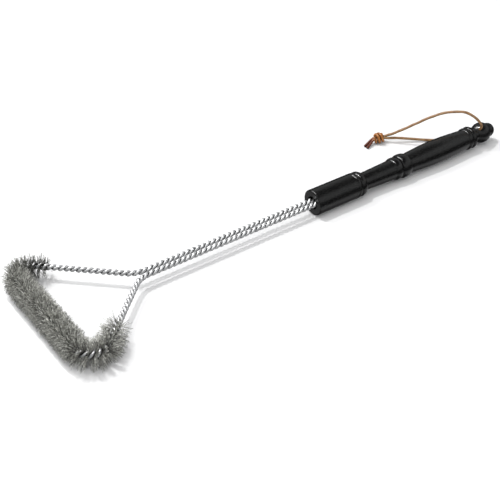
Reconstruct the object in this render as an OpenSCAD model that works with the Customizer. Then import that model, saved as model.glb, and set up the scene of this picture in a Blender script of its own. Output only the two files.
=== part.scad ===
// Grill cleaning brush: a turned handle, a stem of two twisted wire rods that open
// into a triangle, bristles clamped between the twisted wires, and a knotted lace.
// Millimetres, +Z up. The origin lies on the floor under the middle of the brush,
// +X points to the handle's end and +Y to the user's right.

/* [Overall] */
// Length of the turned handle
handle_len = 241; // [225:1:300]
// Free length of the stem, from the handle to where the two rods part
stem_len = 191; // [120:1:260]
// Depth of the triangle, from where the rods part to the crossbar's core
head_depth = 88; // [80:1:120]
// Half the crossbar's length, measured to the sharp corner of the triangle
head_half_w = 85; // [75:1:110]

/* [Twisted wire] */
// Diameter of one wire
wire_d = 2.36; // [1.8:0.02:3]
// Length of one full turn of the twist
lay_pitch = 11; // [9:0.1:15]
// Room left between the two wires of a rod
wire_gap = 0.36; // [0.3:0.02:0.8]
// Room between the two rods of the stem
rod_gap = 0.2; // [0.1:0.05:1]
// Bend radius where a rod leaves the stem
apex_r = 9; // [6:0.5:14]
// Bend radius at the corners of the triangle
corner_r = 14; // [11:0.5:18]
// Length of rod that is bedded in the handle
bedded_len = 32; // [20:1:50]
// Room between the rods and the wall of the handle's bore
bore_play = 0.32; // [0.2:0.02:0.8]
// Depth of the bore's open mouth, in front of the adhesive
glue_recess = 6; // [3:0.5:12]

/* [Bristles] */
// Diameter of the brush over its bristles
bristle_d = 26; // [20:0.5:32]
// Pairs of strands in one turn of the twist
stations_per_turn = 10.4; // [8.4:0.2:12.4]
// Width of one strand along the core
strand_w = 0.7; // [0.3:0.05:0.7]
// Width of a strand's tip
tip_w = 0.45; // [0.2:0.05:0.5]
// Thickness of the layer of strands between the wires
web_t = 0.6; // [0.3:0.05:0.8]
// Bristled length of the left arm, past the corner bend
reach_left = 28; // [5:1:40]
// Bristled length of the right arm, past the corner bend
reach_right = 11; // [5:1:40]

/* [Handle turning] */
// Diameter of the straight barrel at the front
barrel_d = 25.4; // [23:0.1:32]
// Length of the barrel, up to its pair of beads
barrel_len = 51; // [40:1:60]
// Rounding of the barrel's front edge
front_round = 2.5; // [1:0.1:4]
// Depth of the grooves beside the beads
bead_depth = 1; // [0.6:0.1:1.4]
// Width of each of the two front beads
front_bead_w = 4.6; // [4:0.1:6]
// Length of the waist, between the front and middle beads
waist_len = 37; // [30:1:45]
// Smallest diameter of the waist
waist_d = 17.2; // [15:0.1:22]
// Diameter of the waist where it meets the middle beads
waist_end_d = 20.6; // [18:0.1:23]
// Width of the small middle bead
mid_small_w = 7.2; // [6:0.1:9]
// Diameter of the small middle bead
mid_small_d = 22.9; // [22:0.1:27]
// Width of the large middle bead
mid_large_w = 9.6; // [8:0.1:12]
// Diameter of the large middle bead
mid_large_d = 24.3; // [23:0.1:29]
// Length of the hollow curve beside a pair of beads
cove_len = 4.4; // [3:0.1:6]
// Diameter of the belly at its fullest
belly_d = 24.2; // [22:0.1:30]
// Diameter of the belly at its two ends
belly_end_d = 20.4; // [18:0.1:21.5]
// Width of each of the two end beads
end_bead_w = 5.8; // [5:0.1:7]
// Diameter of the larger end bead
end_bead_d = 23; // [22:0.1:27]
// Difference between the two diameters of the front pair and of the end pair
bead_step = 0.4; // [0:0.1:0.8]
// Diameter of the ball near the end
ball_d = 20.8; // [18:0.1:25]
// Diameter of the neck that the lace goes through
neck_d = 15.5; // [13:0.1:17]
// Straight length of the neck
neck_w = 2.4; // [2:0.1:6]
// Diameter of the end button
button_d = 15.8; // [13:0.1:17]
// Length of the end button
button_len = 10.4; // [8:0.1:14]

/* [Lace] */
// Diameter of the leather lace
lace_d = 2.2; // [1.6:0.1:2.6]
// Room between the lace and the wall of its hole
lace_play = 0.5; // [0.3:0.05:0.8]
// Lean of the lace hole, towards the user's left
lace_hole_lean = 25; // [20:1:30]
// Diameter of the knot
knot_d = 10.6; // [9:0.1:11]
// Length of the knot
knot_len = 9; // [7:0.1:10]

/* [Hidden] */
WIRES = ["a", "b"];
$fn = 96;

// Colours of the pieces
lacquer = [0.05, 0.05, 0.055];
glue = [0.35, 0.27, 0.15];
bright_wire = [0.75, 0.76, 0.77];
bristle_grey = [0.5, 0.5, 0.46];
leather = [0.62, 0.42, 0.24];

// Places along the brush, from the tip of the handle forwards
bristle_r = bristle_d / 2;
total_len = handle_len + stem_len + head_depth + bristle_r;
tip_x = total_len / 2;
front_x = tip_x - handle_len;
apex_x = front_x - stem_len;
axis_h = max(bristle_r, barrel_d / 2, belly_d / 2);
up = [0, 0, 1];

// Cutting bodies run past the faces they open by this length
overcut = 1;

// The twisted rod: two wires round one core line, left-hand lay
wire_sides = 6;
rings_per_turn = 6;
wire_r = wire_d / 2;
wire_offset = wire_r + wire_gap / 2;
rod_r = wire_offset + wire_r;
rod_y = rod_r + rod_gap / 2;
lay_sign = -1;
bore_d = 2 * (rod_y + rod_r + bore_play);

// The core line runs down the left rod, round the triangle and back up the right rod
arm_angle = atan2(head_half_w - rod_y, head_depth);
half_corner = (90 - arm_angle) / 2;
apex_cut = apex_r * tan(arm_angle / 2);
corner_cut = corner_r / tan(half_corner);
arm_line = norm([head_depth, head_half_w - rod_y]);
stem_run = [bedded_len + stem_len - apex_cut, 0];
apex_run = [apex_r * arm_angle * PI / 180, apex_r];
arm_run = [arm_line - apex_cut - corner_cut, 0];
corner_run = [corner_r * (90 + arm_angle) * PI / 180, -corner_r];
crossbar_run = [2 * (head_half_w - corner_cut), 0];
RUNS = [
    stem_run, apex_run, arm_run, corner_run, crossbar_run,
    corner_run, arm_run, apex_run, stem_run
];

// Length along the core at which run i starts
function run_start(i) = i == 0 ? 0 : run_start(i - 1) + RUNS[i - 1][0];

// Place and heading [x, y, angle] after a run that turns on a signed radius, or goes straight
function advance(p, run, bend) =
    bend == 0
    ? [p[0] + run * cos(p[2]), p[1] + run * sin(p[2]), p[2]]
    : let (turned = p[2] + run / bend * 180 / PI)
      [p[0] + bend * (sin(turned) - sin(p[2])), p[1] - bend * (cos(turned) - cos(p[2])), turned];

function run_pose(i) =
    i == 0
    ? [front_x + bedded_len, -rod_y, 180]
    : advance(run_pose(i - 1), RUNS[i - 1][0], RUNS[i - 1][1]);

last_run = len(RUNS) - 1;
STARTS = [for (i = [0 : len(RUNS)]) run_start(i)];
POSES = [for (i = [0 : last_run]) run_pose(i)];

function run_at(s) = max([0, for (i = [0 : last_run]) if (s >= STARTS[i]) i]);
function core(s) = let (i = run_at(s)) advance(POSES[i], s - STARTS[i], RUNS[i][1]);
function core_point(p) = [p[0], p[1], 0];
function core_side(p) = [-sin(p[2]), cos(p[2]), 0];
function lay_angle(s) = lay_sign * 360 * s / lay_pitch;
function unit(v) = v / norm(v);

// Bristled stretch of the core, and how far the wires stand apart to hold the strands
bristle_from = STARTS[3] - reach_left;
bristle_to = STARTS[6] + reach_right;
function held(s) =
    max(0, min(1, 1 + min(s - bristle_from, bristle_to - s) / lay_pitch));

// Centre of a wire, on its side of the core
function wire_point(s, phase) =
    let (p = core(s), a = lay_angle(s) + phase, r = wire_offset + held(s) * web_t / 2)
    core_point(p) + r * (cos(a) * core_side(p) + sin(a) * up);

// One ring of a tube round a centre, square to its direction
function ring(centre, along, ref, r, sides) =
    let (t = unit(along), e = unit(ref - (ref * t) * t), f = cross(t, e))
    [for (j = [0 : sides - 1]) centre + r * (cos(360 * j / sides) * e + sin(360 * j / sides) * f)];

// Two triangles for a four-cornered face
function split(q) = [[q[0], q[1], q[2]], [q[0], q[2], q[3]]];

function tube_faces(rings, sides) =
    let (last = (rings - 1) * sides)
    concat(
        [for (i = [0 : rings - 2], j = [0 : sides - 1])
            let (a = i * sides + j, b = i * sides + (j + 1) % sides)
            each split([a, a + sides, b + sides, b])],
        [for (j = [1 : sides - 2]) [0, j, j + 1]],
        [for (j = [1 : sides - 2]) [last, last + j + 1, last + j]]
    );

module tube(centres, directions, ref, r, sides) {
    polyhedron(
        points = [for (i = [0 : len(centres) - 1]) each ring(centres[i], directions[i], ref, r, sides)],
        faces = tube_faces(len(centres), sides)
    );
}

// One wire of the twisted rod, from one length along the core to another
nudge = 0.01;

module wire(from, to, phase) {
    steps = ceil((to - from) / lay_pitch * rings_per_turn);
    places = [for (i = [0 : steps]) from + (to - from) * i / steps];
    centres = [for (s = places) wire_point(s, phase)];
    directions = [for (s = places) wire_point(s + nudge, phase) - wire_point(s - nudge, phase)];
    color(bright_wire)
        translate([0, 0, axis_h])
            tube(centres, directions, up, wire_r, wire_sides);
}

// Strands grow from the edges of a twisted layer that lies between the two wires.
// They stop short of the line that halves a corner, so none cross there.
web_share = 0.7;
web_half_w = wire_offset + wire_r * web_share;
strand_room = 1.5;
least_inward = 0.01;
function inner_room(s) =
    let (
        i = run_at(s),
        near = i == 4 ? min(s - STARTS[4], STARTS[5] - s) : i < 4 ? STARTS[3] - s : s - STARTS[6]
    )
    (i == 3 || i == 5 ? corner_r : (corner_cut + near) * tan(half_corner)) - strand_room;

function strand_len(s, inward) = min(bristle_r, inner_room(s) / max(inward, least_inward));

// Corner of the layer's section: edge is 1 or -1 across the layer, face 1 or -1 through it
function web_corner(s, edge, face) =
    let (p = core(s), a = lay_angle(s), through = cos(a) * core_side(p) + sin(a) * up)
    let (across = -sin(a) * core_side(p) + cos(a) * up)
    core_point(p) + edge * web_half_w * across + face * web_t / 2 * through;

// Corner of a strand's tip, with side -1 or 1 along the core
function tip_corner(s, edge, face, side) =
    let (p = core(s), a = lay_angle(s), through = cos(a) * core_side(p) + sin(a) * up)
    let (across = edge * (-sin(a) * core_side(p) + cos(a) * up))
    core_point(p) + strand_len(s, -(across * core_side(p))) * across
    + tip_w / 2 * (face * through + side * [cos(p[2]), sin(p[2]), 0]);

function station_count(from, to) = max(1, round((to - from) / lay_pitch * stations_per_turn));
function stations(from, to) =
    let (n = station_count(from, to))
    [for (k = [0 : n - 1]) from + (to - from) * (k + 0.5) / n];

// Corners of the layer's section in order: [across, through]
SECTION = [[1, 1], [-1, 1], [-1, -1], [1, -1]];

// The four corners of a face between two rings of the layer
function web_quad(i, j) = [4 * i + j, 4 * i + 4 + j, 4 * i + 4 + (j + 1) % 4, 4 * i + (j + 1) % 4];

// Side faces and tip of a strand that stands on the face q, with its tip corners from index t
function strand_faces(q, t) =
    concat(
        [for (m = [0 : 3]) each split([q[m], q[(m + 1) % 4], t + (m + 1) % 4, t + m])],
        split([t, t + 1, t + 2, t + 3])
    );

module bristles(from, to) {
    rows = stations(from, to);
    places = concat([from], [for (s = rows) each [s - strand_w / 2, s + strand_w / 2]], [to]);
    rings = len(places);
    web = [for (s = places) each [for (c = SECTION) web_corner(s, c[0], c[1])]];
    tips = [for (s = rows, c = [SECTION[1], SECTION[3]])
        each [for (m = [[1, -1], [1, 1], [-1, 1], [-1, -1]])
            tip_corner(s, c[0], c[1] * m[0], m[1])]];
    edge_faces = [for (i = [0 : rings - 2], e = [0, 1])
        let (q = web_quad(i, 2 * e + 1), on_strand = i % 2 == 1)
        each on_strand ? strand_faces(q, 4 * rings + 4 * (i - 1) + 4 * e) : split(q)];
    flat_faces = [for (i = [0 : rings - 2], j = [0, 2]) each split(web_quad(i, j))];
    end = 4 * (rings - 1);
    caps = concat(split([0, 1, 2, 3]), split([end + 3, end + 2, end + 1, end]));
    color(bristle_grey)
        translate([0, 0, axis_h])
            polyhedron(points = concat(web, tips), faces = concat(edge_faces, flat_faces, caps));
}

// Turned profile of the handle, as [distance from the front, radius]
arc_steps = 10;
ball_half_len = sqrt(pow(ball_d / 2, 2) - pow(neck_d / 2, 2));
ball_at = handle_len - button_len - ball_half_len;
neck_to = ball_at - ball_half_len;
neck_from = neck_to - neck_w;
end_beads_at = neck_from - cove_len - 2 * end_bead_w;
mid_beads_at = barrel_len + 2 * front_bead_w + waist_len;
belly_from = mid_beads_at + mid_small_w + mid_large_w + cove_len;
belly_rise = (belly_d - belly_end_d) / 2;

// A rounded bead that stands on a groove
function bead(from, width, d) =
    [for (i = [0 : arc_steps])
        let (a = 180 * i / arc_steps)
        [from + width * (1 - cos(a)) / 2, d / 2 - bead_depth * (1 - sin(a))]];

// A hollow quarter curve that falls from a bead to a smaller radius
function cove(from, r_from, r_to) =
    [for (i = [1 : arc_steps])
        let (a = 90 * i / arc_steps)
        [from + cove_len * (1 - cos(a)), r_from - (r_from - r_to) * sin(a)]];

HANDLE_PROFILE = concat(
    [[0, 0]],
    [for (i = [0 : arc_steps])
        let (a = 90 * i / arc_steps)
        [front_round * (1 - cos(a)), barrel_d / 2 - front_round * (1 - sin(a))]],
    [[barrel_len, barrel_d / 2]],
    bead(barrel_len, front_bead_w, barrel_d),
    bead(barrel_len + front_bead_w, front_bead_w, barrel_d - bead_step),
    cove(barrel_len + 2 * front_bead_w, (barrel_d - bead_step) / 2 - bead_depth, waist_d / 2),
    [[mid_beads_at, waist_end_d / 2]],
    bead(mid_beads_at, mid_small_w, mid_small_d),
    bead(mid_beads_at + mid_small_w, mid_large_w, mid_large_d),
    cove(belly_from - cove_len, mid_large_d / 2 - bead_depth, belly_end_d / 2),
    [for (i = [1 : 2 * arc_steps])
        let (t = i / (2 * arc_steps))
        [belly_from + (end_beads_at - belly_from) * t, belly_end_d / 2 + belly_rise * sin(180 * t)]],
    bead(end_beads_at, end_bead_w, end_bead_d - bead_step),
    bead(end_beads_at + end_bead_w, end_bead_w, end_bead_d),
    cove(neck_from - cove_len, end_bead_d / 2 - bead_depth, neck_d / 2),
    [for (i = [0 : 2 * arc_steps])
        let (u = neck_to + (handle_len - button_len - neck_to) * i / (2 * arc_steps))
        [u, sqrt(pow(ball_d / 2, 2) - pow(u - ball_at, 2))]],
    [for (i = [0 : arc_steps])
        let (a = 90 * i / arc_steps)
        [handle_len - button_len * (1 - sin(a)), button_d / 2 * cos(a)]]
);

// The lace hole crosses the neck, leaning in the plane across the handle
hole_x = front_x + (neck_from + neck_to) / 2;
hole_dir = [0, -sin(lace_hole_lean), cos(lace_hole_lean)];
hole_centre = [hole_x, 0, axis_h];
lace_hole_d = lace_d + 2 * lace_play;
bore_past_rods = 2;

module handle() {
    bore_len = bedded_len + bore_past_rods;
    color(lacquer)
        difference() {
            translate([front_x, 0, axis_h])
                rotate([0, 90, 0])
                    rotate_extrude()
                        polygon([for (p = HANDLE_PROFILE) [p[1], p[0]]]);
            translate([front_x - overcut, 0, axis_h])
                rotate([0, 90, 0])
                    cylinder(d = bore_d, h = bore_len + overcut);
            translate(hole_centre)
                rotate([lace_hole_lean, 0, 0])
                    cylinder(d = lace_hole_d, h = 2 * ball_d, center = true);
        }
}

// Adhesive that fills the bore round the two rods
glue_len = bedded_len - glue_recess;
glue_play = 0.02;

module glue_bed() {
    color(glue)
        translate([front_x + glue_recess, 0, axis_h])
            rotate([0, 90, 0])
                difference() {
                    cylinder(d = bore_d, h = glue_len);
                    for (side = [-1, 1])
                        translate([0, side * rod_y, -overcut])
                            cylinder(r = rod_r + glue_play, h = glue_len + 2 * overcut);
                }
}

// Routes of the lace: x and y count from the hole. Heights count from the handle's axis
// for the upper strand, and from a lace that lies on the floor for the other pieces.
straight_up = 10.5;
straight_down = 9.2;
lace_sides = 8;
lace_ref = unit([0.63, 0.78, 0]);
UPPER_ROUTE = [
    [-0.5, -5.5, 12.5], [-2.5, -6, 15.5], [-5.5, -5, 20], [-9, -2.5, 24], [-12.5, 1, 27],
    [-16.5, 5, 29], [-21, 9.5, 29], [-25, 14, 28], [-29, 18.5, 26.5], [-33, 22.5, 24.5],
    [-37, 26, 22], [-41, 29.5, 19.5], [-45, 33, 16.5], [-49, 36.5, 13], [-53, 40, 10],
    [-57, 43.5, 6.5], [-61, 47, 3.5], [-64.5, 50.5, 0.5], [-67.5, 54, -2.5], [-70.5, 58, -5]
];
LOWER_ROUTE = [
    [-0.4, 5, 1.8], [-1.4, 6.5, 0.6], [-3, 8, 0.1], [-8, 12.5, 0.1], [-13.5, 17, 0.1],
    [-19, 21.5, 0.1], [-24.5, 25.5, 0.1], [-30, 29.5, 0.3], [-36, 33.5, 0.7], [-42, 37.5, 1.3],
    [-47.5, 41.5, 1.9], [-53.5, 45.5, 2.6], [-59.5, 49.5, 3.3], [-65, 53, 3.8], [-70.5, 56, 4.1]
];
TAIL_A_ROUTE = [[-86.5, 64.5, 3.8], [-90, 64.5, 2.3], [-93.5, 63.5, 0.9], [-97, 62.5, 0.2]];
TAIL_B_ROUTE = [[-87, 62, 3.8], [-90, 61.5, 2.3], [-93.5, 60, 0.9], [-97, 58.5, 0.2]];

function from_hole(route, height) = [for (p = route) p + [hole_x, 0, height]];
on_floor = lace_d / 2;

// The knot lies on the floor, with two strands going in at one face and two tails at the other
knot_lift = 0.2;
knot_turn = -18;
knot_centre = [hole_x - 79.5, 61, knot_d / 2 + knot_lift];
knot_dir = [cos(knot_turn), sin(knot_turn), 0];
knot_side = [-sin(knot_turn), cos(knot_turn), 0];
strand_gap = 0.2;
strand_apart = (lace_d + strand_gap) / 2;
function knot_end(face, side) =
    knot_centre + face * knot_len / 2 * knot_dir + side * strand_apart * knot_side;

// A stretch of lace through a list of centres, with its first and last directions given
module lace_stretch(centres, first, last) {
    n = len(centres) - 1;
    directions = [for (i = [0 : n])
        i == 0 ? first : i == n ? last : centres[i + 1] - centres[i - 1]];
    color(leather)
        tube(centres, directions, lace_ref, lace_d / 2, lace_sides);
}

module lace_through_hole() {
    color(leather)
        translate(hole_centre - straight_down * hole_dir)
            rotate([lace_hole_lean, 0, 0])
                cylinder(d = lace_d, h = straight_down + straight_up, $fn = 32);
}

module lace_upper_strand() {
    lace_stretch(
        concat([hole_centre + straight_up * hole_dir], from_hole(UPPER_ROUTE, axis_h), [knot_end(1, 1)]),
        hole_dir, -knot_dir
    );
}

module lace_lower_strand() {
    lace_stretch(
        concat([hole_centre - straight_down * hole_dir], from_hole(LOWER_ROUTE, on_floor), [knot_end(1, -1)]),
        -hole_dir, -knot_dir
    );
}

module lace_tail(route, side) {
    n = len(route) - 1;
    lace_stretch(
        concat([knot_end(-1, side)], from_hole(route, on_floor)),
        -knot_dir, route[n] - route[n - 1]
    );
}

// The knot's turns lie side by side as rounded ribs round the strands
knot_ribs = 3;
knot_lip = 0.3;
knot_face_d = 2 * (strand_apart + lace_d / 2 + knot_lip);

module lace_knot() {
    rib_w = knot_len / knot_ribs;
    color(leather)
        translate(knot_centre)
            rotate([0, 90, knot_turn])
                translate([0, 0, -knot_len / 2])
                    rotate_extrude()
                        polygon(concat(
                            [[0, 0]],
                            [for (k = [0 : knot_ribs - 1], i = [0 : arc_steps])
                                let (a = 180 * i / arc_steps)
                                [knot_face_d / 2 + (knot_d - knot_face_d) / 2 * sin(a),
                                    rib_w * (k + (1 - cos(a)) / 2)]],
                            [[0, knot_len]]
                        ));
}

// Stretches of the frame, each with the runs it starts at and stops before
STRETCHES = [
    ["stem_left", 0, 1], ["arm_left", 1, 3], ["corner_left", 3, 4], ["crossbar", 4, 5],
    ["corner_right", 5, 6], ["arm_right", 6, 8], ["stem_right", 8, 9]
];
BRISTLE_STRETCHES = [
    ["arm_left", bristle_from, STARTS[3]],
    ["corner_left", STARTS[3], STARTS[4]],
    ["crossbar", STARTS[4], STARTS[5]],
    ["corner_right", STARTS[5], STARTS[6]],
    ["arm_right", STARTS[6], bristle_to]
];

strand_total = 2 * len([for (b = BRISTLE_STRETCHES) each stations(b[1], b[2])]);
echo(strands = strand_total, overall_length = total_len, arm_angle = arm_angle);

handle();
glue_bed();
for (st = STRETCHES, w = [0, 1])
    wire(STARTS[st[1]], STARTS[st[2]], 180 * w);
for (b = BRISTLE_STRETCHES)
    bristles(b[1], b[2]);
lace_through_hole();
lace_upper_strand();
lace_lower_strand();
lace_knot();
lace_tail(TAIL_A_ROUTE, 1);  // lace_tail_a
lace_tail(TAIL_B_ROUTE, -1);  // lace_tail_b
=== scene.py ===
"""Looks of the grill cleaning brush: lacquered handle, twisted wire, bristles and leather lace."""

import math
from collections import namedtuple

import bpy
import numpy as np
from mathutils import Matrix, Vector


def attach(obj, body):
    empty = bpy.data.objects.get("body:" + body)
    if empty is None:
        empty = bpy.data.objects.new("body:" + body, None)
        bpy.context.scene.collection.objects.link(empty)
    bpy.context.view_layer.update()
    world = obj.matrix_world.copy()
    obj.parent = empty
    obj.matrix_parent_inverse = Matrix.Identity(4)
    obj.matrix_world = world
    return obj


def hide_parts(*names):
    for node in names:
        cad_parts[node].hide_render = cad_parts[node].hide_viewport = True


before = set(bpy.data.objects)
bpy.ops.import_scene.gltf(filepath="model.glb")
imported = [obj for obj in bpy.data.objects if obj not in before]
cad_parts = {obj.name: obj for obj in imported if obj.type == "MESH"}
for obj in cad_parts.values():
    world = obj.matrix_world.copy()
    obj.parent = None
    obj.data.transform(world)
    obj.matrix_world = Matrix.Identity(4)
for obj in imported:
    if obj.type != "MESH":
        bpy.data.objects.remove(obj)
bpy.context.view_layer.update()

MM = 0.001
UP = np.array([0.0, 0.0, 1.0])
WHITE = (1, 1, 1)
rng = np.random.default_rng(11)
trim_rng = np.random.default_rng(12)

# Sizes in millimetres, as in the model's source
HANDLE_LEN = 241
STEM_LEN = 191
HEAD_DEPTH = 88
HEAD_HALF_W = 85
WIRE_GAP = 0.36
CORNER_R = 14
BEDDED_LEN = 32
BORE_PLAY = 0.32
BORE_PAST_RODS = 2
GLUE_RECESS = 6
BRISTLE_R = 13
WEB_T = 0.6
REACH_LEFT = 28
REACH_RIGHT = 11
LACE_HOLE_D = 3.2
LACE_HOLE_LEAN = math.radians(25)

# Sizes that the photograph shows fuller than the model's source has them
WIRE_D = 2.62
ROD_GAP = 0.9
APEX_R = 25
LACE_D = 2.7
KNOT_D = 12
KNOT_LEN = 10

# Places that follow from the sizes
AXIS_H = BRISTLE_R
WIRE_R = WIRE_D / 2
WIRE_OFFSET = WIRE_R + WIRE_GAP / 2
ROD_R = WIRE_OFFSET + WIRE_R
ROD_Y = ROD_R + ROD_GAP / 2
FRONT_X = (HANDLE_LEN + STEM_LEN + HEAD_DEPTH + BRISTLE_R) / 2 - HANDLE_LEN


def add_to_scene(obj):
    bpy.context.scene.collection.objects.link(obj)


# The camera that was fitted to the photograph: sensor and lens in millimetres, place in metres
SENSOR_W = 36
LENS = 78.72
CAMERA_PLACE = (-0.5142, -0.6573, 0.5995)
CAMERA_BACK = (-0.4623, -0.6497, 0.6035)


def add_camera():
    data = bpy.data.cameras.new("camera")
    data.sensor_width = SENSOR_W
    data.lens = LENS
    camera = bpy.data.objects.new("camera", data)
    add_to_scene(camera)
    back = Vector(CAMERA_BACK).normalized()
    right = Vector((0, 0, 1)).cross(back).normalized()
    above = back.cross(right)
    turn = Matrix((right, above, back)).transposed().to_4x4()
    camera.matrix_world = Matrix.Translation(CAMERA_PLACE) @ turn
    bpy.context.scene.camera = camera


# Node helpers
def grey(value):
    return (value, value, value)


def new_material(name, metallic=0.0, specular=0.5, coat=0.0, coat_roughness=0.1):
    material = bpy.data.materials.new(name)
    material.use_nodes = True
    shader = material.node_tree.nodes["Principled BSDF"]
    shader.inputs["Metallic"].default_value = metallic
    shader.inputs["Specular IOR Level"].default_value = specular
    shader.inputs["Coat Weight"].default_value = coat
    shader.inputs["Coat Roughness"].default_value = coat_roughness
    return material, shader


def add_node(material, kind, **inputs):
    node = material.node_tree.nodes.new(kind)
    for name, value in inputs.items():
        node.inputs[name.replace("_", " ")].default_value = value
    return node


def link(material, a, b):
    material.node_tree.links.new(a, b)


def coordinates(material, scale=(1, 1, 1), uv=None):
    """Texture coordinates in metres, stretched by scale: the object's own, or a UV map's."""
    if uv:
        source = add_node(material, "ShaderNodeUVMap")
        source.uv_map = uv
        place = source.outputs["UV"]
    else:
        place = add_node(material, "ShaderNodeTexCoord").outputs["Object"]
    mapping = add_node(material, "ShaderNodeMapping")
    mapping.inputs["Scale"].default_value = scale
    link(material, place, mapping.inputs["Vector"])
    return mapping.outputs["Vector"]


def axes(material, vector):
    """The X, Y and Z of a vector."""
    node = add_node(material, "ShaderNodeSeparateXYZ")
    link(material, vector, node.inputs["Vector"])
    return node.outputs


def noise(material, vector, detail):
    node = add_node(material, "ShaderNodeTexNoise", Scale=1.0, Detail=detail, Roughness=0.5)
    link(material, vector, node.inputs["Vector"])
    return node.outputs["Fac"]


def ramp(material, value, stops):
    """A colour ramp over value, with stops of (place, colour)."""
    node = add_node(material, "ShaderNodeValToRGB")
    elements = node.color_ramp.elements
    while len(elements) < len(stops):
        elements.new(0.5)
    for element, (place, colour) in zip(elements, stops):
        element.position = place
        element.color = (*colour, 1)
    link(material, value, node.inputs["Fac"])
    return node.outputs["Color"]


def spread(material, value, low, high, start=0.3, stop=0.7):
    """Maps a value from start to stop, where noise mostly lies, on low to high."""
    node = add_node(material, "ShaderNodeMapRange")
    node.inputs["From Min"].default_value = start
    node.inputs["From Max"].default_value = stop
    node.inputs["To Min"].default_value = low
    node.inputs["To Max"].default_value = high
    link(material, value, node.inputs["Value"])
    return node.outputs["Result"]


def mixed(material, kind, factor, a, b):
    """Two colours mixed by a factor socket or number."""
    node = add_node(material, "ShaderNodeMix")
    node.data_type = "RGBA"
    node.blend_type = kind
    for socket, value in ((node.inputs[0], factor), (node.inputs[6], a), (node.inputs[7], b)):
        if isinstance(value, (int, float)):
            socket.default_value = value
        elif isinstance(value, tuple):
            socket.default_value = (*value, 1)
        else:
            link(material, value, socket)
    return node.outputs[2]


def multiplied(material, product, *others):
    """Colours or values multiplied with each other, from first to last."""
    for other in others:
        product = mixed(material, "MULTIPLY", 1.0, product, other)
    return product


def bump(material, shader, height, distance, strength):
    node = add_node(material, "ShaderNodeBump", Distance=distance, Strength=strength)
    link(material, height, node.inputs["Height"])
    link(material, node.outputs["Normal"], shader.inputs["Normal"])


def camera_rays(material):
    return add_node(material, "ShaderNodeLightPath").outputs["Is Camera Ray"]


# Materials
def lacquer_material():
    """Black satin lacquer with the pores of the turned wood just showing through."""
    material, shader = new_material("black_lacquer", specular=0.4, coat=0.25, coat_roughness=0.08)
    pores = noise(material, coordinates(material, (420, 1300, 1300)), detail=4)
    cloud = noise(material, coordinates(material, (30, 60, 60)), detail=2)
    colour = ramp(material, pores, [(0.42, (0.001, 0.001, 0.0012)), (0.7, (0.013, 0.013, 0.0124))])
    link(material, colour, shader.inputs["Base Color"])
    link(material, spread(material, cloud, 0.2, 0.32), shader.inputs["Roughness"])
    bump(material, shader, pores, 0.00007, 0.6)
    return material


def wire_material():
    """Bright drawn steel with fine lines and dull patches, painted shade in the lay where the wires face each
    other and in crevices, and adhesive and painted shade on its ends in the bore.
    """
    material, shader = new_material("bright_wire", metallic=0.75)
    lines = noise(material, coordinates(material, (9, 60, 1), uv="surface"), detail=4)
    patches = noise(material, coordinates(material, (160, 160, 160)), detail=3)
    clean = ramp(material, patches, [(0.3, (0.53, 0.535, 0.54)), (0.62, (0.76, 0.765, 0.77))])
    # Painted shade in the lay: the side of each wire that faces the other wire is darkened.
    turn = axes(material, coordinates(material, uv="surface"))["X"]
    lay_shade_grey = grey(0.12)
    lay_shade = ramp(material, turn, [(0.25, WHITE), (0.4, lay_shade_grey), (0.6, lay_shade_grey), (0.75, WHITE)])
    # Painted shade in crevices and recesses, from ambient occlusion.
    hollow = add_node(material, "ShaderNodeAmbientOcclusion", Distance=0.006)
    crevice_shade = ramp(material, hollow.outputs["AO"], [(0.2, grey(0.1)), (0.62, WHITE)])
    # Adhesive on the wires' ends in the bore's mouth, and painted shade there: darker towards the inside of
    # the bore.
    depth = axes(material, coordinates(material))["X"]
    glue_and_bore_shade = spread(material, depth, 1, 0.15, FRONT_X * MM, (FRONT_X + GLUE_RECESS) * MM)
    painted_shade_and_glue = multiplied(material, lay_shade, crevice_shade, glue_and_bore_shade)
    link(material, multiplied(material, clean, painted_shade_and_glue), shader.inputs["Base Color"])
    link(material, spread(material, lines, 0.42, 0.56), shader.inputs["Roughness"])
    bump(material, shader, lines, 0.00004, 0.5)
    return material


def bristle_material():
    """Fine grey steel filaments: each has its own tone, painted glints on its crimps, a painted highlight at
    its tip and painted shade at its root.
    """
    material, shader = new_material("bristle_wire", metallic=0.3)
    shades = [
        (0.0, (0.16, 0.16, 0.15)),
        (0.4, (0.6, 0.6, 0.565)),
        (0.8, (0.92, 0.92, 0.87)),
        (1.0, (1, 1, 0.97)),
    ]
    dull = (0.8, 0.8, 0.79)
    # Painted shade at the root and a painted highlight at the tip.
    root_shade_tip_glint = [(0.0, grey(0.15)), (0.5, dull), (0.85, dull), (1.0, WHITE)]
    # Painted glints: brighter flecks along each strand, standing in for light on its crimps.
    painted_glints = [(0.38, (0.36, 0.36, 0.35)), (0.52, (0.85, 0.85, 0.83)), (0.66, WHITE)]
    strand = axes(material, coordinates(material, uv="strand"))
    crimps = noise(material, coordinates(material, (4000, 7, 1), uv="strand"), detail=1)
    shade = ramp(material, strand["X"], shades)
    along = ramp(material, strand["Y"], root_shade_tip_glint)
    colour = multiplied(material, shade, along, ramp(material, crimps, painted_glints))
    link(material, colour, shader.inputs["Base Color"])
    scale = noise(material, coordinates(material, (900, 900, 900)), detail=2)
    link(material, spread(material, scale, 0.34, 0.52), shader.inputs["Roughness"])
    return material


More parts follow.
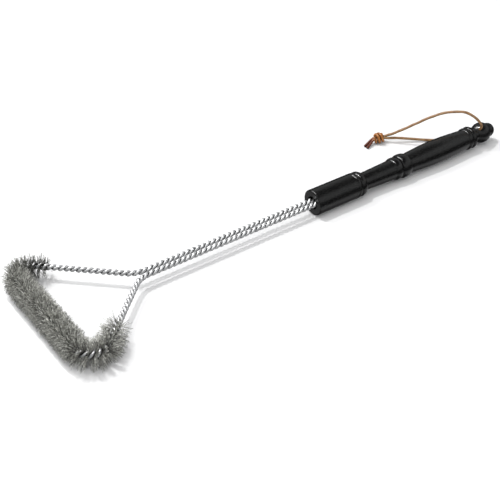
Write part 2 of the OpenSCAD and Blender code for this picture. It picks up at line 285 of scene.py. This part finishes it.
def leather_material():
    """Waxed leather with long fibres: dull brown strands, an orange knot and dark red tails, with painted
    shade in its creases.
    """
    material, shader = new_material("lace_leather")
    tail = (0.16, 0.035, 0.012)
    knot = (0.52, 0.2, 0.045)
    strand = (0.38, 0.22, 0.1)
    fibres = noise(material, coordinates(material, (5, 260, 1), uv="surface"), detail=5)
    from_tail = axes(material, coordinates(material, (1, 10, 1), uv="surface"))["Y"]
    tone = ramp(material, from_tail, [(0.1, tail), (0.15, knot), (0.52, knot), (0.62, strand)])
    depth = ramp(material, fibres, [(0.3, (0.45, 0.4, 0.36)), (0.7, WHITE)])
    # Painted shade in the knot's creases, from ambient occlusion.
    hollow = add_node(material, "ShaderNodeAmbientOcclusion", Distance=0.003)
    crease_shade = ramp(material, hollow.outputs["AO"], [(0.4, (0.1, 0.06, 0.04)), (0.85, WHITE)])
    link(material, multiplied(material, tone, depth, crease_shade), shader.inputs["Base Color"])
    link(material, spread(material, fibres, 0.3, 0.45), shader.inputs["Roughness"])
    bump(material, shader, fibres, 0.00012, 0.7)
    return material


def glue_material():
    """Dull, nearly black brown adhesive in the bore's mouth."""
    material, shader = new_material("adhesive", specular=0.3)
    lumps = noise(material, coordinates(material, (420, 420, 420)), detail=4)
    colour = ramp(material, lumps, [(0.3, (0.008, 0.006, 0.004)), (0.7, (0.024, 0.018, 0.011))])
    link(material, colour, shader.inputs["Base Color"])
    link(material, spread(material, lumps, 0.5, 0.75), shader.inputs["Roughness"])
    bump(material, shader, lumps, 0.0003, 0.8)
    return material


# Mesh helpers
def add_object(name, points, faces, material, body):
    """A smooth mesh from points in millimetres, riding on a body of the model."""
    mesh = bpy.data.meshes.new(name)
    mesh.from_pydata((np.asarray(points) * MM).tolist(), [], faces)
    mesh.polygons.foreach_set("use_smooth", np.ones(len(mesh.polygons), bool))
    mesh.materials.append(material)
    obj = bpy.data.objects.new(name, mesh)
    add_to_scene(obj)
    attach(obj, body)
    return obj


def add_uv(obj, name, per_loop):
    layer = obj.data.uv_layers.new(name=name)
    layer.data.foreach_set("uv", np.asarray(per_loop, np.float32).ravel())


def unit(v):
    return v / np.linalg.norm(v, axis=-1, keepdims=True)


def lengths_along(line):
    """Distance along a line at each of its points."""
    steps = np.linalg.norm(np.diff(line, axis=0), axis=1)
    return np.concatenate([[0], np.cumsum(steps)])


def sweep(line, radius, sides, outward=None):
    """Rings of a round tube along a line, as one list of points that start on the outward side."""
    tangents = unit(np.gradient(line, axis=0))
    steep = 0.8
    ref = UP if abs(tangents[0][2]) < steep else np.array([1.0, 0.0, 0.0])
    across = np.empty_like(line)
    for i, t in enumerate(tangents):
        ref = ref if outward is None else outward[i]
        ref = ref - (ref @ t) * t
        ref = ref / np.linalg.norm(ref)
        across[i] = ref
    beside = np.cross(tangents, across)
    turn = 2 * math.pi * np.arange(sides) / sides
    radius = np.broadcast_to(radius, len(line))[:, None, None]
    rings = np.cos(turn)[None, :, None] * across[:, None] + np.sin(turn)[None, :, None] * beside[:, None]
    return (line[:, None] + radius * rings).reshape(-1, 3)


def tube_faces(rings, sides):
    """Faces of a tube of rings, closed at both ends."""
    faces = []
    for i in range(rings - 1):
        for j in range(sides):
            k = (j + 1) % sides
            faces.append((i * sides + j, i * sides + k, (i + 1) * sides + k, (i + 1) * sides + j))
    last = (rings - 1) * sides
    faces.append(tuple(range(sides - 1, -1, -1)))
    faces.append(tuple(range(last, last + sides)))
    return faces


def add_tube(name, line, radius, sides, material, body, outward=None):
    """A round tube along a line, with a UV map of turns round it and metres along it."""
    points = sweep(line, radius, sides, outward)
    obj = add_object(name, points, tube_faces(len(line), sides), material, body)
    along = lengths_along(line) * MM
    uv = []
    for i in range(len(line) - 1):
        for j in range(sides):
            low = j / sides
            high = (j + 1) / sides
            uv += [(low, along[i]), (high, along[i]), (high, along[i + 1]), (low, along[i + 1])]
    uv += [(0, 0)] * sides
    uv += [(0, along[-1])] * sides
    add_uv(obj, "surface", uv)
    return obj


def between(t, start, stop, a, b):
    """The point at t on a straight way from a, which is at start, to b, which is at stop."""
    return (stop - t) / (stop - start) * a + (t - start) / (stop - start) * b


def smooth_line(points, spacing):
    """A smooth curve through the points, with its own points about evenly spaced."""
    steps_per_span = 16
    points = np.asarray(points, float)
    spans = np.sqrt(np.linalg.norm(np.diff(points, axis=0), axis=1))
    knots = np.concatenate([[0], np.cumsum(spans)])
    before = 2 * points[0] - points[1]
    after = 2 * points[-1] - points[-2]
    p = np.vstack([before, points, after])
    k = np.concatenate([[2 * knots[0] - knots[1]], knots, [2 * knots[-1] - knots[-2]]])
    last_span = len(p) - 3
    fine = []
    for i in range(1, last_span + 1):
        t = np.linspace(k[i], k[i + 1], steps_per_span, endpoint=i == last_span)[:, None]
        a = [between(t, k[i + j - 1], k[i + j], p[i + j - 1], p[i + j]) for j in range(3)]
        b = [between(t, k[i + j - 1], k[i + j + 1], a[j], a[j + 1]) for j in range(2)]
        fine.append(between(t, k[i], k[i + 1], b[0], b[1]))
    fine = np.vstack(fine)
    along = lengths_along(fine)
    places = np.linspace(0, along[-1], max(2, round(along[-1] / spacing)))
    return np.stack([np.interp(places, along, fine[:, i]) for i in range(3)], axis=1)


# The core line of the twisted rod: its runs of (length, bend radius), from one bedded end to the other
ARM_ANGLE = math.atan2(HEAD_HALF_W - ROD_Y, HEAD_DEPTH)
HALF_CORNER = (math.pi / 2 - ARM_ANGLE) / 2
APEX_CUT = APEX_R * math.tan(ARM_ANGLE / 2)
CORNER_CUT = CORNER_R / math.tan(HALF_CORNER)
ARM_LINE = math.hypot(HEAD_DEPTH, HEAD_HALF_W - ROD_Y)
STEM_RUN = (BEDDED_LEN + STEM_LEN - APEX_CUT, 0)
APEX_RUN = (APEX_R * ARM_ANGLE, APEX_R)
ARM_RUN = (ARM_LINE - APEX_CUT - CORNER_CUT, 0)
CORNER_RUN = (CORNER_R * (math.pi / 2 + ARM_ANGLE), -CORNER_R)
CROSSBAR_RUN = (2 * (HEAD_HALF_W - CORNER_CUT), 0)
RUNS = [STEM_RUN, APEX_RUN, ARM_RUN, CORNER_RUN, CROSSBAR_RUN, CORNER_RUN, ARM_RUN, APEX_RUN, STEM_RUN]


def advance(pose, run, bend):
    """Place and heading (x, y, angle) after a run on a signed bend radius, or a straight one."""
    x, y, heading = pose
    if bend == 0:
        return x + run * math.cos(heading), y + run * math.sin(heading), heading
    turned = heading + run / bend
    return (
        x + bend * (math.sin(turned) - math.sin(heading)),
        y - bend * (math.cos(turned) - math.cos(heading)),
        turned,
    )


STARTS = [0.0]
POSES = [(FRONT_X + BEDDED_LEN, -ROD_Y, math.pi)]
for length, bend in RUNS:
    POSES.append(advance(POSES[-1], length, bend))
    STARTS.append(STARTS[-1] + length)
ROD_LEN = STARTS[-1]
LEFT_CORNER_FROM = STARTS[3]
LEFT_CORNER_TO = STARTS[4]
RIGHT_CORNER_FROM = STARTS[5]
RIGHT_CORNER_TO = STARTS[6]
BRISTLE_FROM = LEFT_CORNER_FROM - REACH_LEFT
BRISTLE_TO = RIGHT_CORNER_TO + REACH_RIGHT


def core(places):
    """Points of the core line, its sideways directions and its own directions at some lengths."""
    points = []
    sides = []
    along = []
    for s in places:
        run = max(i for i in range(len(RUNS)) if s >= STARTS[i] or i == 0)
        x, y, heading = advance(POSES[run], s - STARTS[run], RUNS[run][1])
        points.append((x, y, AXIS_H))
        sides.append((-math.sin(heading), math.cos(heading), 0))
        along.append((math.cos(heading), math.sin(heading), 0))
    return np.array(points), np.array(sides), np.array(along)


# Turns of the two wires round each other, from one bedded end to the other
LAY_TURNS = 72.25
LAY_PITCH = ROD_LEN / LAY_TURNS
RINGS_PER_TURN = 24
WIRE_SIDES = 14
WIRE_STRETCHES = [
    "stem_left", "arm_left", "corner_left", "crossbar", "corner_right", "arm_right", "stem_right",
]


def lay_angle(s):
    return -2 * math.pi * s / LAY_PITCH


def wire_line(phase):
    """Centre line of a wire, which stands off further where it holds bristles, and its outward side."""
    places = np.linspace(0, ROD_LEN, round(LAY_TURNS * RINGS_PER_TURN))
    points, sides, _ = core(places)
    held = np.clip(1 + np.minimum(places - BRISTLE_FROM, BRISTLE_TO - places) / LAY_PITCH, 0, 1)
    reach = (WIRE_OFFSET + held * WEB_T / 2)[:, None]
    turn = (lay_angle(places) + phase)[:, None]
    outward = np.cos(turn) * sides + np.sin(turn) * UP
    return points + reach * outward, outward


def add_wires():
    material = wire_material()
    for name, phase in (("a", 0), ("b", math.pi)):
        line, outward = wire_line(phase)
        wire = add_tube(f"wire_{name}", line, WIRE_R, WIRE_SIDES, material, "brush", outward)
        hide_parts(*[f"{stretch}_wire_{name}" for stretch in WIRE_STRETCHES])


# A stretch of bristles. Its pairs are values at its start and its end.
# Density is in strands per millimetre, turn is the spread round the core in degrees.
# Share is of the full length. Lean, the spread along the core, and splay, outside a bend, are in millimetres.
# The pair after turn scales each strand's tone; its low values on the right corner and arm are painted shade.
Stretch = namedtuple("Stretch", "node start stop density turn bright share lean splay")
BRISTLE_STRETCHES = [
    Stretch("arm_left", BRISTLE_FROM, LEFT_CORNER_FROM, (3, 34), (22, 22), (1, 1), (1, 1), 2.6, 0),
    Stretch("corner_left", LEFT_CORNER_FROM, LEFT_CORNER_TO, (32, 32), (12, 12), (1, 1), (1, 1), 1.8, 3.5),
    Stretch("crossbar", LEFT_CORNER_TO, RIGHT_CORNER_FROM, (76, 76), (70, 70), (0.82, 0.82), (1, 1), 2.4, 0),
    Stretch(
        "corner_right", RIGHT_CORNER_FROM, RIGHT_CORNER_TO,
        (70, 22), (70, 10), (0.82, 0.15), (1, 0.85), 2.2, -7,
    ),
    Stretch("arm_right", RIGHT_CORNER_TO, BRISTLE_TO, (18, 10), (9, 9), (0.1, 0.1), (0.85, 0.7), 1.8, 0),
]

# Strands: their form, the spread of their lengths and bends, and the room that they keep to
STRAND_W = 0.34
STRAND_SIDES = 3
STRAND_RINGS = 4
STRAND_PROUD = 2.2
LENGTH_SPREAD = 1.1
SHORT_SHARE = 0.3
SHORT_BY = (1, 5)
LEAN_MAX = 7
CURL = 1.1
CRIMP = 0.35
TRIM_SHARES = (0.72, 0.88, 1)
SHADE_SPREAD = (1.2, 1.1)
STRAND_ROOM = 1.0
FLOOR_ROOM = 0.2
HEAD_SIDE_Y = 79.4
HEAD_END_X = FRONT_X - STEM_LEN - HEAD_DEPTH - BRISTLE_R + STRAND_W / 2
BRISTLE_BOX = [
    (HEAD_END_X, -HEAD_SIDE_Y, FLOOR_ROOM),
    (FRONT_X, HEAD_SIDE_Y, 2 * AXIS_H + STRAND_PROUD),
]


def inner_room(s):
    """Room between the core and the line that halves the nearest corner, at some lengths."""
    near_left = np.abs(s - np.where(s < LEFT_CORNER_FROM, LEFT_CORNER_FROM, LEFT_CORNER_TO))
    near_right = np.abs(s - np.where(s > RIGHT_CORNER_TO, RIGHT_CORNER_TO, RIGHT_CORNER_FROM))
    near = np.minimum(near_left, near_right)
    on_left = (s >= LEFT_CORNER_FROM) & (s <= LEFT_CORNER_TO)
    on_right = (s >= RIGHT_CORNER_FROM) & (s <= RIGHT_CORNER_TO)
    straight = (CORNER_CUT + near) * math.tan(HALF_CORNER)
    return np.where(on_left | on_right, CORNER_R, straight) - STRAND_ROOM


def places_between(start, stop, density):
    """Random places on a stretch whose density changes evenly from its start to its end."""
    fine = np.linspace(start, stop, 200)
    filled = np.cumsum(np.linspace(*density, len(fine)))
    count = round((stop - start) * sum(density) / 2)
    return np.sort(np.interp(rng.uniform(filled[0], filled[-1], count), filled, fine))


def strand_centres(stretch, s):
    """Centres of the rings of strands at some lengths, from root to tip, and two directions across them."""
    count = len(s)
    ends = (stretch.start, stretch.stop)
    points, sides, along = core(s)
    edge = rng.choice([-1.0, 1.0], count)
    turn = lay_angle(s) + np.radians(rng.normal(0, 1, count) * np.interp(s, ends, stretch.turn))
    way = edge[:, None] * (np.cos(turn)[:, None] * UP - np.sin(turn)[:, None] * sides)
    sideways = np.cross(along, way)
    inward = -(way * sides).sum(axis=1)
    is_short = rng.choice([0, 1], count, p=(1 - SHORT_SHARE, SHORT_SHARE))
    short = is_short * rng.uniform(*SHORT_BY, count)
    full = np.interp(s, ends, stretch.share) * BRISTLE_R
    trim = np.minimum(full + rng.normal(0, LENGTH_SPREAD, count), full + STRAND_PROUD) - short
    reach = np.minimum(trim, inner_room(s) / np.maximum(inward, 0.01))
    lean = np.clip(rng.normal(0, stretch.lean, count), -LEAN_MAX, LEAN_MAX)[:, None]
    curl = rng.normal(0, CURL, (count, 1))
    root = points + WIRE_OFFSET * way
    tip = points + reach[:, None] * unit(way * BRISTLE_R + lean * along + curl * sideways)
    tip += (stretch.splay * np.maximum(-inward, 0) ** 2 * rng.uniform(0, 1, count))[:, None] * sides
    inside = ((np.clip(tip, *BRISTLE_BOX) - root) / (tip - root))[:, :2].min(axis=1)
    cut = np.where(inside < 1, inside * trim_rng.triangular(*TRIM_SHARES, count), 1)
    tip = np.clip(root + cut[:, None] * (tip - root), *BRISTLE_BOX)
    centres = [root]
    for ring in range(1, STRAND_RINGS - 1):
        crimp = rng.normal(0, CRIMP, (count, 1)) * along + rng.normal(0, CRIMP, (count, 1)) * sideways
        centres.append(root + ring / (STRAND_RINGS - 1) * (tip - root) + crimp)
    centres.append(tip)
    return centres, along, sideways


def strand_faces(count):
    """Faces of strands whose points follow one another, closed at their tips only."""
    per_strand = STRAND_RINGS * STRAND_SIDES
    faces = []
    for first in range(0, count * per_strand, per_strand):
        last_ring = first + per_strand - STRAND_SIDES
        for ring in range(first, last_ring, STRAND_SIDES):
            following = ring + STRAND_SIDES
            for j in range(STRAND_SIDES):
                k = (j + 1) % STRAND_SIDES
                faces.append((ring + j, ring + k, following + k, following + j))
        faces.append(tuple(range(last_ring, last_ring + STRAND_SIDES)))
    return faces


def strand_heights():
    """Share of a strand's length at each corner of its faces."""
    heights = []
    for ring in range(STRAND_RINGS - 1):
        low = ring / (STRAND_RINGS - 1)
        high = (ring + 1) / (STRAND_RINGS - 1)
        heights += [low, low, high, high] * STRAND_SIDES
    return heights + [1] * STRAND_SIDES


def add_bristles(stretch, material):
    """A stretch of bent filaments that stand on both edges of the layer they are held in."""
    s = places_between(stretch.start, stretch.stop, stretch.density)
    centres, along, sideways = strand_centres(stretch, s)
    rings = []
    for centre in centres:
        for j in range(STRAND_SIDES):
            a = 2 * math.pi * j / STRAND_SIDES
            rings.append(centre + STRAND_W / 2 * (math.cos(a) * along + math.sin(a) * sideways))
    points = np.stack(rings, axis=1).reshape(-1, 3)
    faces = strand_faces(len(s))
    obj = add_object(f"bristles_{stretch.node}_fine", points, faces, material, "brush")
    # Tone scale along the stretch; its low values paint shade on the right corner and arm.
    bright = np.interp(s, (stretch.start, stretch.stop), stretch.bright)
    heights = strand_heights()
    uv = np.empty((len(s), len(heights), 2))
    uv[:, :, 0] = (bright * rng.beta(*SHADE_SPREAD, len(s)))[:, None]
    uv[:, :, 1] = heights
    add_uv(obj, "strand", uv)
    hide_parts(f"bristles_{stretch.node}")


# The lace's routes, from its hole: points as in the model's source, with straighter tails
NECK_MID = 215.53
HOLE = np.array([FRONT_X + NECK_MID, 0, AXIS_H])
HOLE_DIR = np.array([0, -math.sin(LACE_HOLE_LEAN), math.cos(LACE_HOLE_LEAN)])
UPPER_ROUTE = [
    (-0.5, -5.5, 12.5), (-2.5, -6, 15.5), (-5.5, -5, 20), (-9, -2.5, 24), (-12.5, 1, 27),
    (-16.5, 5, 29), (-21, 9.5, 29), (-25, 14, 28), (-29, 18.5, 26.5), (-33, 22.5, 24.5),
    (-37, 26, 22), (-41, 29.5, 19.5), (-45, 33, 16.5), (-49, 36.5, 13), (-53, 40, 10),
    (-57, 43.5, 6.5), (-61, 47, 3.5), (-64.5, 50.5, 0.5), (-67.5, 54, -2.5), (-70.5, 58, -5),
]
LOWER_ROUTE = [
    (-0.4, 5, 1.8), (-1.4, 6.5, 0.6), (-3, 8, 0.1), (-8, 12.5, 0.1), (-13.5, 17, 0.1),
    (-19, 21.5, 0.1), (-24.5, 25.5, 0.1), (-30, 29.5, 0.3), (-36, 33.5, 0.7), (-42, 37.5, 1.3),
    (-47.5, 41.5, 1.9), (-53.5, 45.5, 2.6), (-59.5, 49.5, 3.3), (-65, 53, 3.8), (-70.5, 56, 4.1),
]
TAIL_A_ROUTE = [(-86.5, 64.4, 3.8), (-90, 63.8, 2.5), (-93.5, 63.2, 1.2), (-97, 62.6, 0.2)]
TAIL_B_ROUTE = [(-87, 62, 3.8), (-90.3, 60.9, 2.5), (-93.6, 59.8, 1.2), (-97, 58.6, 0.2)]
STRAIGHT_UP = 10.5
STRAIGHT_DOWN = 9.2
ON_FLOOR = LACE_D / 2

# The knot: its place, its axis and the distance of the strands from that axis where they enter it
KNOT_FROM_HOLE = 79.5
KNOT_Y = 61
KNOT_LIFT = 0.2
KNOT_CENTRE = np.array([HOLE[0] - KNOT_FROM_HOLE, KNOT_Y, KNOT_D / 2 + KNOT_LIFT])
KNOT_TURN = math.radians(-18)
KNOT_DIR = np.array([math.cos(KNOT_TURN), math.sin(KNOT_TURN), 0])
KNOT_SIDE = np.array([-math.sin(KNOT_TURN), math.cos(KNOT_TURN), 0])
STRAND_APART = LACE_D / 2 + 0.1

# The lace's surface: spacing and sides of its rings, and the share and pace of its uneven thickness
LACE_SPACING = 0.7
LACE_SIDES = 16
RIPPLE_SHARE = 0.03
RIPPLE_PACE = 0.37


def from_hole(route, height):
    return [HOLE * (1, 1, 0) + np.array(p) + (0, 0, height) for p in route]


def on_knot(along, reach, turn):
    """A point of the knot by its place along the knot's axis, distance from it and turn round it."""
    a = math.radians(turn)
    return KNOT_CENTRE + along * KNOT_DIR + reach * (math.cos(a) * KNOT_SIDE + math.sin(a) * UP)


def knot_turns(start):
    """One strand's way through the tied knot: in along the core, once round it and out under the turn."""
    core_r = 1.75
    wrap_r = 4.5
    wrap_from = -3.2
    wrap_rise = 5.6
    wrap_start = start + 80
    wrap_by = 290
    wrap_steps = 8
    way_in = [
        (KNOT_LEN / 2, STRAND_APART, start),
        (2.2, core_r, start),
        (-0.8, core_r, start),
        (-3.1, 2.1, start + 10),
        (-4.1, 3.4, start + 45),
    ]
    wrap = []
    for i in range(wrap_steps + 1):
        t = i / wrap_steps
        wrap.append((wrap_from + wrap_rise * t, wrap_r, wrap_start + wrap_by * t))
    way_out = [
        (3.7, 3.6, start + 400),
        (3.3, 2.2, start + 435),
        (1.2, core_r, start + 450),
        (-1.6, core_r, start + 450),
        (-KNOT_LEN / 2, STRAND_APART, start + 360),
    ]
    return [on_knot(*key) for key in way_in + wrap + way_out]


def add_lace():
    material = leather_material()
    strands = [
        ("lace_upper", 1, STRAIGHT_UP, from_hole(UPPER_ROUTE, AXIS_H), TAIL_A_ROUTE, 0),
        ("lace_lower", -1, STRAIGHT_DOWN, from_hole(LOWER_ROUTE, ON_FLOOR), TAIL_B_ROUTE, 180),
    ]
    nodes = {
        "lace_upper": ["lace_through_hole", "lace_upper_strand", "lace_knot", "lace_tail_a"],
        "lace_lower": ["lace_lower_strand", "lace_tail_b"],
    }
    for name, way, straight, route, tail, start in strands:
        stem = [HOLE + way * straight * t * HOLE_DIR for t in (0, 0.35, 0.7, 1)]
        line = smooth_line(stem + route + knot_turns(start) + from_hole(tail, ON_FLOOR), LACE_SPACING)
        radius = LACE_D / 2 * (1 + RIPPLE_SHARE * np.sin(np.arange(len(line)) * RIPPLE_PACE))
        lace = add_tube(name, line[::-1], radius, LACE_SIDES, material, "lace")
        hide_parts(*nodes[name])


# The turned handle: its beads, ball and button are finer than in the model, and it ends a little shorter
TURNED_LEN = 237.4
BARREL_D = 25.4
BARREL_LEN = 47.8
FRONT_ROUND = 1.2
BEAD_DEPTH = 1.7
BEAD_STEP = 0.4
FRONT_BEAD_W = 4.8
FRONT_FALL = 5.2
WAIST_LEN = 37.5
WAIST_D = 17.5
WAIST_END_D = 20.2
MID_SMALL_W = 8.6
MID_SMALL_D = 22.9
MID_LARGE_W = 8.2
MID_LARGE_D = 24.3
MID_FALL = 7
BELLY_D = 24.2
BELLY_END_D = 20.4
END_BEAD_W = 5.6
END_BEAD_D = 23
END_FALL = 3
BALL_D = 21.3
NECK_D = 13
NECK_W = 5.2
BUTTON_D = 15
NOTCH_D = 14.8
BORE_R = ROD_Y + ROD_R + BORE_PLAY
BORE_DEPTH = BEDDED_LEN + BORE_PAST_RODS
BORE_LIP = 0.4
GLUE_RISE = 1.2
HANDLE_SEGMENTS = 144
GLUE_SEGMENTS = 72
HOLE_SIDES = 32
SHARP_EDGE = math.radians(40)
ARC_STEPS = 24
QUARTER = np.linspace(0, math.pi / 2, ARC_STEPS)


def half_chord(d, smaller):
    """Distance from a ball's middle to where its diameter is a smaller one."""
    return math.sqrt(d * d - smaller * smaller) / 2


def curve(x, r):
    return np.stack(np.broadcast_arrays(x, r), axis=1)


def ball(middle, d, turn):
    """Outline of a ball by turn from its front."""
    return curve(middle - d / 2 * np.cos(turn), d / 2 * np.sin(turn))


def bead(start, width, d, fall=None, d_to=None):
    """A rounded bead that rises out of a groove and falls to the next groove or a smaller diameter."""
    r = d / 2
    groove = r - BEAD_DEPTH
    r_to = groove if d_to is None else d_to / 2
    rise = curve(start + width / 2 * (1 - np.cos(QUARTER)), groove + BEAD_DEPTH * np.sin(QUARTER))
    down_x = start + width / 2 + (fall or width / 2) * np.sin(QUARTER)
    down = curve(down_x, r_to + (r - r_to) * np.cos(QUARTER))
    return np.vstack([rise, down[1:]])


def handle_profile():
    """Outline of the handle as (distance from the front, radius), from the bore's floor to the tip."""
    button_at = TURNED_LEN - BUTTON_D / 2
    ball_at = button_at - half_chord(BUTTON_D, NOTCH_D) - half_chord(BALL_D, NOTCH_D)
    neck_from = ball_at - half_chord(BALL_D, NECK_D) - NECK_W
    end_beads = neck_from - END_FALL - 1.5 * END_BEAD_W
    mid_beads = BARREL_LEN + 1.5 * FRONT_BEAD_W + FRONT_FALL + WAIST_LEN
    belly_from = mid_beads + MID_SMALL_W + MID_LARGE_W / 2 + MID_FALL
    along = np.linspace(0, 1, 2 * ARC_STEPS)[1:]
    belly_x = belly_from + (end_beads - belly_from) * along
    belly_rise = (BELLY_D - BELLY_END_D) / 2 * np.sin(math.pi * along)
    ball_turn = np.linspace(math.asin(NECK_D / BALL_D), math.pi - math.asin(NOTCH_D / BALL_D), 2 * ARC_STEPS)
    button_turn = np.linspace(math.asin(NOTCH_D / BUTTON_D), math.pi, ARC_STEPS)[1:]
    return np.vstack([
        [(BORE_DEPTH, 0), (BORE_DEPTH, BORE_R), (BORE_LIP, BORE_R), (0, BORE_R + BORE_LIP)],
        curve(FRONT_ROUND * (1 - np.cos(QUARTER)), BARREL_D / 2 - FRONT_ROUND * (1 - np.sin(QUARTER))),
        [(BARREL_LEN, BARREL_D / 2)],
        bead(BARREL_LEN, FRONT_BEAD_W, BARREL_D),
        bead(BARREL_LEN + FRONT_BEAD_W, FRONT_BEAD_W, BARREL_D - BEAD_STEP, FRONT_FALL, WAIST_D),
        [(mid_beads, WAIST_END_D / 2)],
        bead(mid_beads, MID_SMALL_W, MID_SMALL_D),
        bead(mid_beads + MID_SMALL_W, MID_LARGE_W, MID_LARGE_D, MID_FALL, BELLY_END_D),
        curve(belly_x, BELLY_END_D / 2 + belly_rise),
        bead(end_beads, END_BEAD_W, END_BEAD_D - BEAD_STEP),
        bead(end_beads + END_BEAD_W, END_BEAD_W, END_BEAD_D, END_FALL, NECK_D),
        ball(ball_at, BALL_D, ball_turn),
        ball(button_at, BUTTON_D, button_turn),
    ])


def lathe(profile, segments):
    """Points and faces of a profile turned round the handle's axis."""
    turn = 2 * math.pi * np.arange(segments) / segments
    rings = np.stack(
        [
            np.broadcast_to(FRONT_X + profile[:, :1], (len(profile), segments)),
            profile[:, 1:] * np.cos(turn),
            AXIS_H + profile[:, 1:] * np.sin(turn),
        ],
        axis=2,
    )
    faces = []
    for i in range(len(profile) - 1):
        for j in range(segments):
            k = (j + 1) % segments
            faces.append((i * segments + j, (i + 1) * segments + j, (i + 1) * segments + k, i * segments + k))
    return rings.reshape(-1, 3), faces


def drill_lace_hole(handle):
    """Cuts the leaning lace hole through the handle's mesh."""
    line = np.array([HOLE + t * HOLE_DIR for t in (-BALL_D, BALL_D)])
    points = sweep(line, LACE_HOLE_D / 2, HOLE_SIDES) * MM
    mesh = bpy.data.meshes.new("lace_hole")
    mesh.from_pydata(points.tolist(), [], tube_faces(len(line), HOLE_SIDES))
    cutter = bpy.data.objects.new("lace_hole", mesh)
    add_to_scene(cutter)
    cut = handle.modifiers.new("lace_hole", "BOOLEAN")
    cut.operation = "DIFFERENCE"
    cut.object = cutter
    cut_handle = handle.evaluated_get(bpy.context.evaluated_depsgraph_get())
    drilled = bpy.data.meshes.new_from_object(cut_handle)
    handle.modifiers.remove(cut)
    handle.data = drilled
    bpy.data.objects.remove(cutter)
    drilled.set_sharp_from_angle(angle=SHARP_EDGE)


def add_handle():
    points, faces = lathe(handle_profile(), HANDLE_SEGMENTS)
    handle = add_object("turned_handle", points, faces, lacquer_material(), "brush")
    drill_lace_hole(handle)
    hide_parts("handle")


def add_glue():
    """Adhesive round the rods, with a hollow face that climbs the bore's wall."""
    share = np.linspace(0, 1, ARC_STEPS)
    profile = np.vstack([
        curve(GLUE_RECESS - GLUE_RISE * share**3, BORE_R * share),
        [(BEDDED_LEN, BORE_R), (BEDDED_LEN, 0)],
    ])
    points, faces = lathe(profile, GLUE_SEGMENTS)
    glue = add_object("adhesive_fill", points, faces, glue_material(), "brush")
    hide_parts("glue_bed")


# Floor, lights and world, in metres
FLOOR_HALF = 4.0
FAR_FROM = 0.6
FAR_TO = 1.4


def add_stage():
    """A pale floor. Far from the brush the camera sees it as white as the backdrop."""
    material, shader = new_material("pale_floor", specular=0.1)
    tone = noise(material, coordinates(material, (3, 3, 3)), detail=2)
    colour = ramp(material, tone, [(0.3, (0.86, 0.86, 0.865)), (0.7, grey(0.9))])
    link(material, colour, shader.inputs["Base Color"])
    shader.inputs["Roughness"].default_value = 0.9
    distance = add_node(material, "ShaderNodeVectorMath")
    distance.operation = "LENGTH"
    link(material, coordinates(material), distance.inputs[0])
    far = spread(material, distance.outputs["Value"], 0, 1, FAR_FROM, FAR_TO)
    link(material, multiplied(material, far, camera_rays(material)), shader.inputs["Emission Strength"])
    material.cycles.emission_sampling = "NONE"
    corners = [(x * FLOOR_HALF, y * FLOOR_HALF, 0) for x, y in ((-1, -1), (1, -1), (1, 1), (-1, 1))]
    mesh = bpy.data.meshes.new("floor")
    mesh.from_pydata(corners, [], [(0, 1, 2, 3)])
    mesh.materials.append(material)
    floor = bpy.data.objects.new("floor", mesh)
    add_to_scene(floor)
    floor.visible_glossy = False


def add_light(name, place, size, power, length=None, in_reflections=True, on_dull=True):
    """A softbox that faces the middle of the brush: round, or a strip of some length across the handle."""
    data = bpy.data.lights.new(name, "AREA")
    data.shape = "ELLIPSE"
    data.size = size
    data.size_y = length or size
    data.energy = power
    lamp = bpy.data.objects.new(name, data)
    add_to_scene(lamp)
    lamp.location = place
    lamp.rotation_euler = (-Vector(place)).to_track_quat("-Z", "Y").to_euler()
    lamp.visible_glossy = in_reflections
    lamp.visible_diffuse = on_dull


def add_lights():
    add_light("softbox", place=(-0.243, 0.558, 1.69), size=0.12, power=13)
    add_light("low_softbox", place=(-0.46, 1.06, 1.37), size=0.6, power=10.5)
    add_light("strip", place=(-0.25, 0.72, 1.6), size=0.25, power=28, length=2.2, on_dull=False)
    add_light("ceiling", place=(-0.9, -0.8, 2.4), size=4, power=62, in_reflections=False)


def add_world():
    """A white backdrop, and the studio that reflections show: a pale side, dark above and at the horizon."""
    world = bpy.data.worlds.new("studio")
    world.use_nodes = True
    pale = (0.55, 0.555, 0.56)
    dark = (0.06, 0.06, 0.062)
    below = [(0.08, dark), (0.16, pale), (0.25, pale), (0.33, dark)]
    above = [(0.53, dark), (0.66, pale), (0.84, pale), (0.91, dark)]
    way = axes(world, add_node(world, "ShaderNodeTexCoord").outputs["Generated"])
    sky = ramp(world, spread(world, way["Z"], 0, 1, -1, 1), below + above)
    sides = ramp(world, spread(world, way["Y"], 0, 1, -1, 1), [(0.35, WHITE), (0.65, grey(0.62))])
    studio = multiplied(world, sky, sides)
    background = world.node_tree.nodes["Background"]
    link(world, mixed(world, "MIX", camera_rays(world), studio, WHITE), background.inputs["Color"])
    bpy.context.scene.world = world


add_camera()
add_lace()
add_wires()
bristle_wire = bristle_material()
for stretch in BRISTLE_STRETCHES:
    add_bristles(stretch, bristle_wire)
add_handle()
add_glue()
add_stage()
add_lights()
add_world()
bpy.context.scene.view_settings.view_transform = "Standard"
